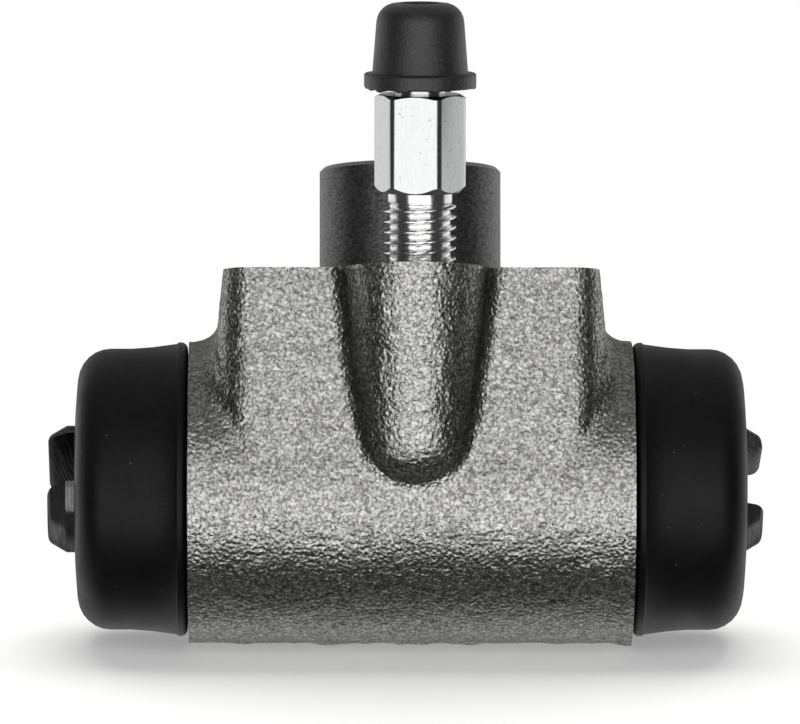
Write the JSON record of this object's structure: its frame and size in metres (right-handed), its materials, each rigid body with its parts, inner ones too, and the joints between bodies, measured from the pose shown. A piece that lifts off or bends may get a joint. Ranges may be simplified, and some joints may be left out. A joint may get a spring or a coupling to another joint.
{
  "type": "wheel cylinder",
  "caption": "Hydraulic drum-brake wheel cylinder: iron casting with mounting face and pilot, slotted pistons in rubber boots, capped bleed screw.",
  "frame": {"origin": "centre of the machined mounting face, on the axis of the pilot", "axes": "+Z out of the mounting face along the pilot, +X along the bore, bleed screw towards -Y"},
  "size_m": [0.0692, 0.0378, 0.0605],
  "materials": {
    "cast_iron": "sand-cast skin, machined faces",
    "zinc_steel": "bright zinc plate",
    "cap_rubber": "moulded, satin",
    "boot_rubber": "moulded, satin",
    "dark_steel": "dark phosphate, oiled",
    "cup_rubber": "moulded, smooth",
    "pressed_steel": "plain pressed steel",
    "spring_steel": "drawn wire"
  },
  "bodies": {
    "cylinder": {"housing": "cast_iron", "left_boot": "boot_rubber", "right_boot": "boot_rubber", "spring": "spring_steel"},
    "left_cup_set": {"left_cup": "cup_rubber", "left_expander": "pressed_steel"},
    "right_cup_set": {"right_cup": "cup_rubber", "right_expander": "pressed_steel"},
    "left_piston": {"left_piston": "dark_steel"},
    "right_piston": {"right_piston": "dark_steel"},
    "bleed_screw": {"bleed_screw": "zinc_steel"},
    "bleed_cap": {"bleed_cap": "cap_rubber"}
  },
  "joints": [
    {"name": "left_stroke", "type": "slide", "parent": "cylinder", "child": "left_cup_set", "axis": [-1, 0, 0], "range_m": [-0.0015, 0.005], "stiffness_N_per_m": 800, "deforming": ["left_boot", "spring"]},
    {"name": "right_stroke", "type": "slide", "parent": "cylinder", "child": "right_cup_set", "axis": [1, 0, 0], "range_m": [-0.0015, 0.005], "stiffness_N_per_m": 800, "deforming": ["right_boot", "spring"]},
    {"name": "left_piston_turn", "type": "hinge", "parent": "left_cup_set", "child": "left_piston", "pos_m": [-0.02, 0, -0.0203], "axis": [-1, 0, 0], "continuous": true},
    {"name": "right_piston_turn", "type": "hinge", "parent": "right_cup_set", "child": "right_piston", "pos_m": [0.02, 0, -0.0203], "axis": [1, 0, 0], "continuous": true},
    {"name": "bleed_screw_turn", "type": "hinge", "parent": "cylinder", "child": "bleed_screw", "pos_m": [0.00075, -0.0144, 0], "axis": [0, -0.1908, 0.9816], "range_deg": [0, 270]},
    {"name": "bleed_cap_pull", "type": "slide", "parent": "bleed_screw", "child": "bleed_cap", "axis": [0, -0.1908, 0.9816], "range_m": [0, 0.009]}
  ]
}
